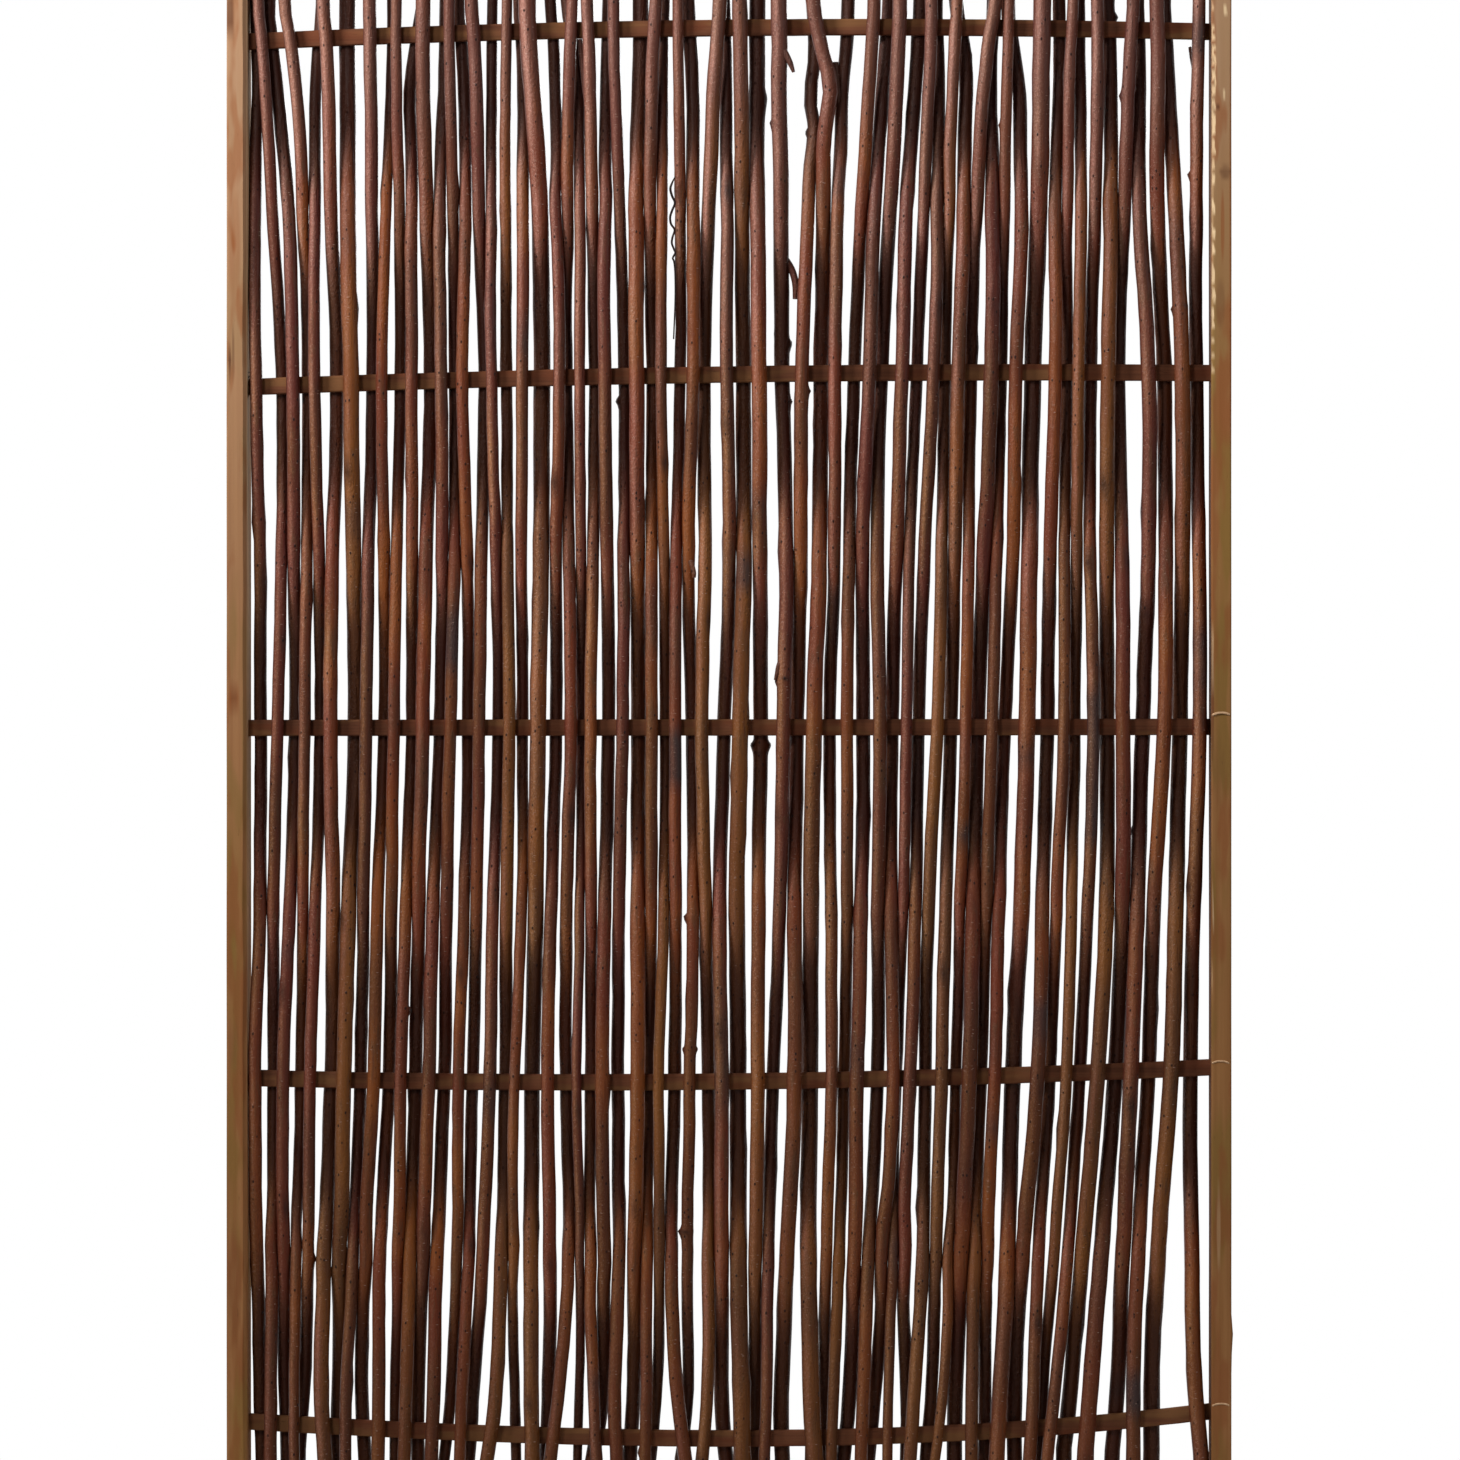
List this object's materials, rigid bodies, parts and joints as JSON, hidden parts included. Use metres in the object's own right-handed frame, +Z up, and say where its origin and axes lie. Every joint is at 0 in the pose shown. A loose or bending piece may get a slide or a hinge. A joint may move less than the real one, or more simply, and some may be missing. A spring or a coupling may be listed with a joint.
{
  "type": "garden fence panel",
  "caption": "Upright garden screen of bark-on willow rods woven through thin slats inside a slim batten frame.",
  "frame": {"origin": "middle of the underside, in the panel's mid plane", "axes": "+Z up along the posts, +X from the left post to the right post as seen from the front, -Y out of the front face"},
  "size_m": [0.9, 0.038, 1.8],
  "materials": {
    "post_wood": "planed, lightly weathered",
    "rail_wood": "planed, lightly weathered",
    "slat_wood": "rough sawn, dark",
    "willow_bark": "natural bark, satin",
    "screw_steel": "plated"
  },
  "bodies": {
    "root": {"left_post": "post_wood", "right_post": "post_wood", "top_rail": "rail_wood", "bottom_rail": "rail_wood", "top_left_screw": "screw_steel", "top_right_screw": "screw_steel", "bottom_left_screw": "screw_steel", "bottom_right_screw": "screw_steel", "slat_1": "slat_wood", "slat_2": "slat_wood", "slat_3": "slat_wood", "slat_4": "slat_wood", "slat_5": "slat_wood", "willow_rod_01": "willow_bark", "willow_rod_02": "willow_bark", "willow_rod_03": "willow_bark", "willow_rods_04_05": "willow_bark", "willow_rod_06": "willow_bark", "willow_rods_07_08": "willow_bark", "willow_rod_09": "willow_bark", "willow_rod_10": "willow_bark", "willow_rods_11_12": "willow_bark", "willow_rod_13": "willow_bark", "willow_rod_14": "willow_bark", "willow_rods_15_16": "willow_bark", "willow_rods_17_18": "willow_bark", "willow_rod_19": "willow_bark", "willow_rod_20": "willow_bark", "willow_rods_21_22": "willow_bark", "willow_rods_23_24": "willow_bark", "willow_rod_25": "willow_bark", "willow_rod_26": "willow_bark", "willow_rods_27_28": "willow_bark", "willow_rod_29": "willow_bark", "willow_rods_30_31": "willow_bark", "willow_rod_32": "willow_bark", "willow_rod_33": "willow_bark", "willow_rod_34": "willow_bark", "willow_rod_35": "willow_bark", "willow_rods_36_37": "willow_bark", "willow_rod_38": "willow_bark", "willow_rod_39": "willow_bark", "willow_rod_40": "willow_bark", "willow_rod_41": "willow_bark", "willow_rod_42": "willow_bark", "willow_rods_43_44": "willow_bark", "willow_rod_45": "willow_bark", "willow_rods_46_47": "willow_bark", "willow_rod_48": "willow_bark", "willow_rods_49_50": "willow_bark", "willow_rod_51": "willow_bark", "willow_rod_52": "willow_bark", "willow_rods_53_54": "willow_bark", "willow_rod_55": "willow_bark", "willow_rod_56": "willow_bark", "willow_rods_57_58": "willow_bark", "willow_rod_59": "willow_bark", "willow_rod_60": "willow_bark", "willow_rod_61": "willow_bark", "willow_rod_62": "willow_bark"}
  },
  "joints": []
}
